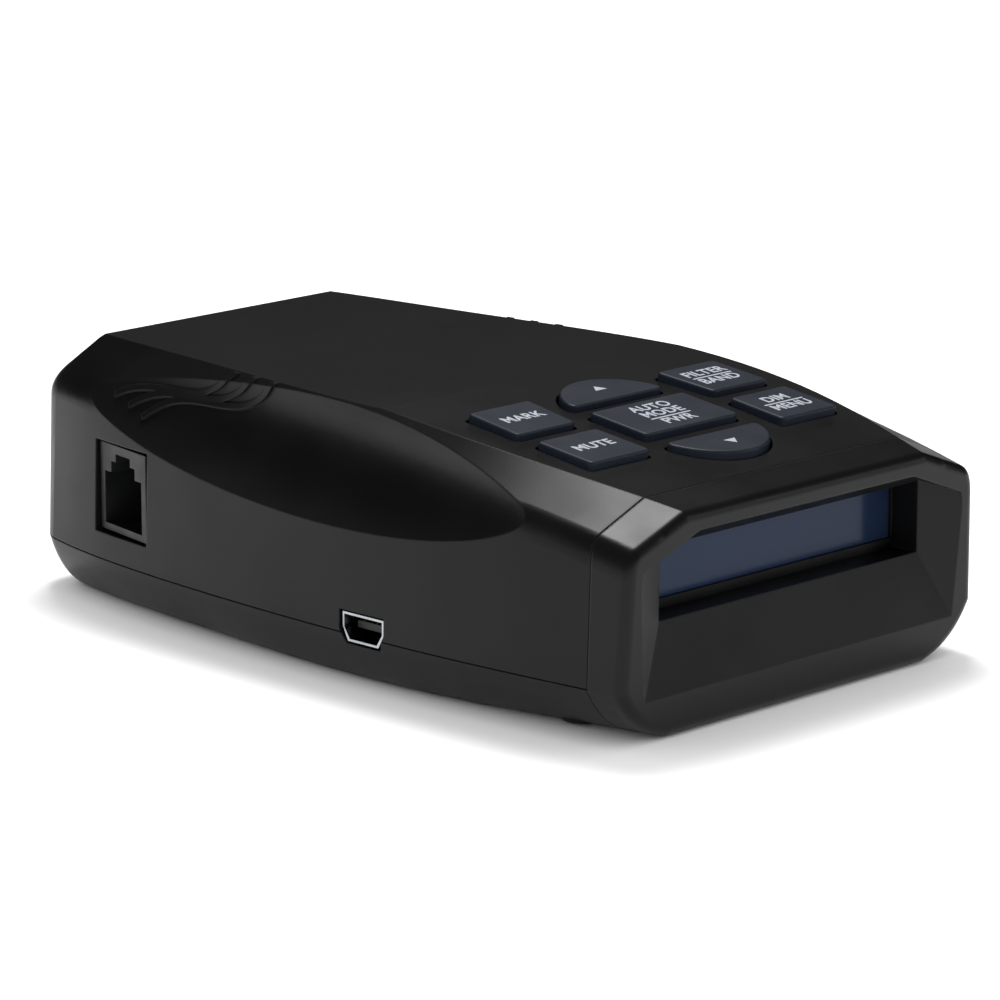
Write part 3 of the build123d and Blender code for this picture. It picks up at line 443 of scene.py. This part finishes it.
# gold contacts on the tongue of the update port
portContacts = {"howMany": 5, "pitchMm": 0.8, "widthMm": 0.34, "thickMm": 0.08, "insetMm": 0.35,
                "edgeMm": 0.03}
tongueLow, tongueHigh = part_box("usb_tongue")
middle = (tongueLow + tongueHigh) / 2
bpy.ops.object.select_all(action="DESELECT")
bpy.ops.mesh.primitive_cube_add(size=1, location=(0, 0, 0))
strip = bpy.context.object
strip.scale = (tongueHigh.x - tongueLow.x - 2 * portContacts["insetMm"] * mm, portContacts["widthMm"] * mm,
               portContacts["thickMm"] * mm)
bpy.ops.object.transform_apply(location=False, rotation=False, scale=True)
roundEdges(portContacts["edgeMm"] * mm)
strips = [strip]
for number in range(1, portContacts["howMany"]):
    strips.append(strip.copy())
    strips[-1].data = strip.data.copy()
    bpy.context.collection.objects.link(strips[-1])
for number, piece in enumerate(strips):
    offset = (number - (portContacts["howMany"] - 1) / 2) * portContacts["pitchMm"] * mm
    piece.name = "port_contact_" + str(number + 1)
    piece.data.materials.append(paint["contactGold"])
    onTongue = tongueHigh.z + portContacts["thickMm"] * mm / 2
    settle(piece, Matrix.Translation((middle.x, middle.y + offset, onTongue)))
    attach(piece, "housing")
print("port contacts laid")

# matt white paper under the detector, and an even pale sky
stageLook = {"floorM": 6.0, "floorGapMm": 0.2, "floorColour": "#f4f4f4", "floorRoughness": 0.9,
             "floorSpecular": 0.1, "worldColour": "#fafafa", "worldStrength": 1.12}
bpy.ops.object.select_all(action="DESELECT")
bpy.ops.mesh.primitive_plane_add(size=stageLook["floorM"], location=(0, 0, -stageLook["floorGapMm"] * mm))
floor = bpy.context.object
floor.name = "floor"
floorPaper, tree = startMaterial("floorPaper")
matte = addNode(tree, "ShaderNodeBsdfPrincipled", {"Base Color": hexColour(stageLook["floorColour"]),
                                                   "Roughness": stageLook["floorRoughness"],
                                                   "Specular IOR Level": stageLook["floorSpecular"]})
finishMaterial(tree, matte)
floor.data.materials.append(floorPaper)

world = bpy.data.worlds.new("studioWorld")
bpy.context.scene.world = world
world.use_nodes = True
sky = world.node_tree.nodes["Background"]
sky.inputs["Color"].default_value = hexColour(stageLook["worldColour"])
sky.inputs["Strength"].default_value = stageLook["worldStrength"]
world.cycles_visibility.glossy = False    # black cards all round: only lamps and floor mirror in the case

# the front of the shoulder mirrors shoulderBox, roof and keys lowBack, the chin chinFill
lamps = {
    "shoulderBox": {"at": (0.18, 0.18, 0.65), "towards": (-0.02, -0.05, 0.03), "size": (0.2, 0.2),
                    "power": 3.0},
    "lowBack": {"at": (0.66, 0.60, 0.30), "towards": (0, 0, 0.02), "size": (0.5, 0.16), "power": 0.045},
    "chinFill": {"at": (0.62, -0.62, 0.28), "towards": (0, -0.05, 0.015), "size": (0.4, 0.3), "power": 0.5},
}
for name, lamp in lamps.items():
    bpy.ops.object.select_all(action="DESELECT")
    bpy.ops.object.light_add(type="AREA", location=lamp["at"])
    light = bpy.context.object
    light.name = name
    light.data.shape = "RECTANGLE"
    light.data.size, light.data.size_y = lamp["size"]
    light.data.energy = lamp["power"]
    light.rotation_euler = (Vector(lamp["towards"]) - Vector(lamp["at"])).to_track_quat("-Z", "Y").to_euler()

cameraLook = {"from": (-0.4775, -0.4723, 0.1773), "at": (0.000845, -0.00345, 0.01732), "lensMm": 179.8,
              "sensorMm": 36.0, "clipM": (0.05, 20.0)}
bpy.ops.object.select_all(action="DESELECT")
bpy.ops.object.camera_add(location=cameraLook["from"])
camera = bpy.context.object
camera.rotation_euler = (Vector(cameraLook["at"]) - camera.location).to_track_quat("-Z", "Y").to_euler()
camera.data.lens = cameraLook["lensMm"]
camera.data.sensor_width = cameraLook["sensorMm"]
camera.data.clip_start, camera.data.clip_end = cameraLook["clipM"]
bpy.context.scene.camera = camera
bpy.context.scene.view_settings.view_transform = "Standard"
print("stage set")
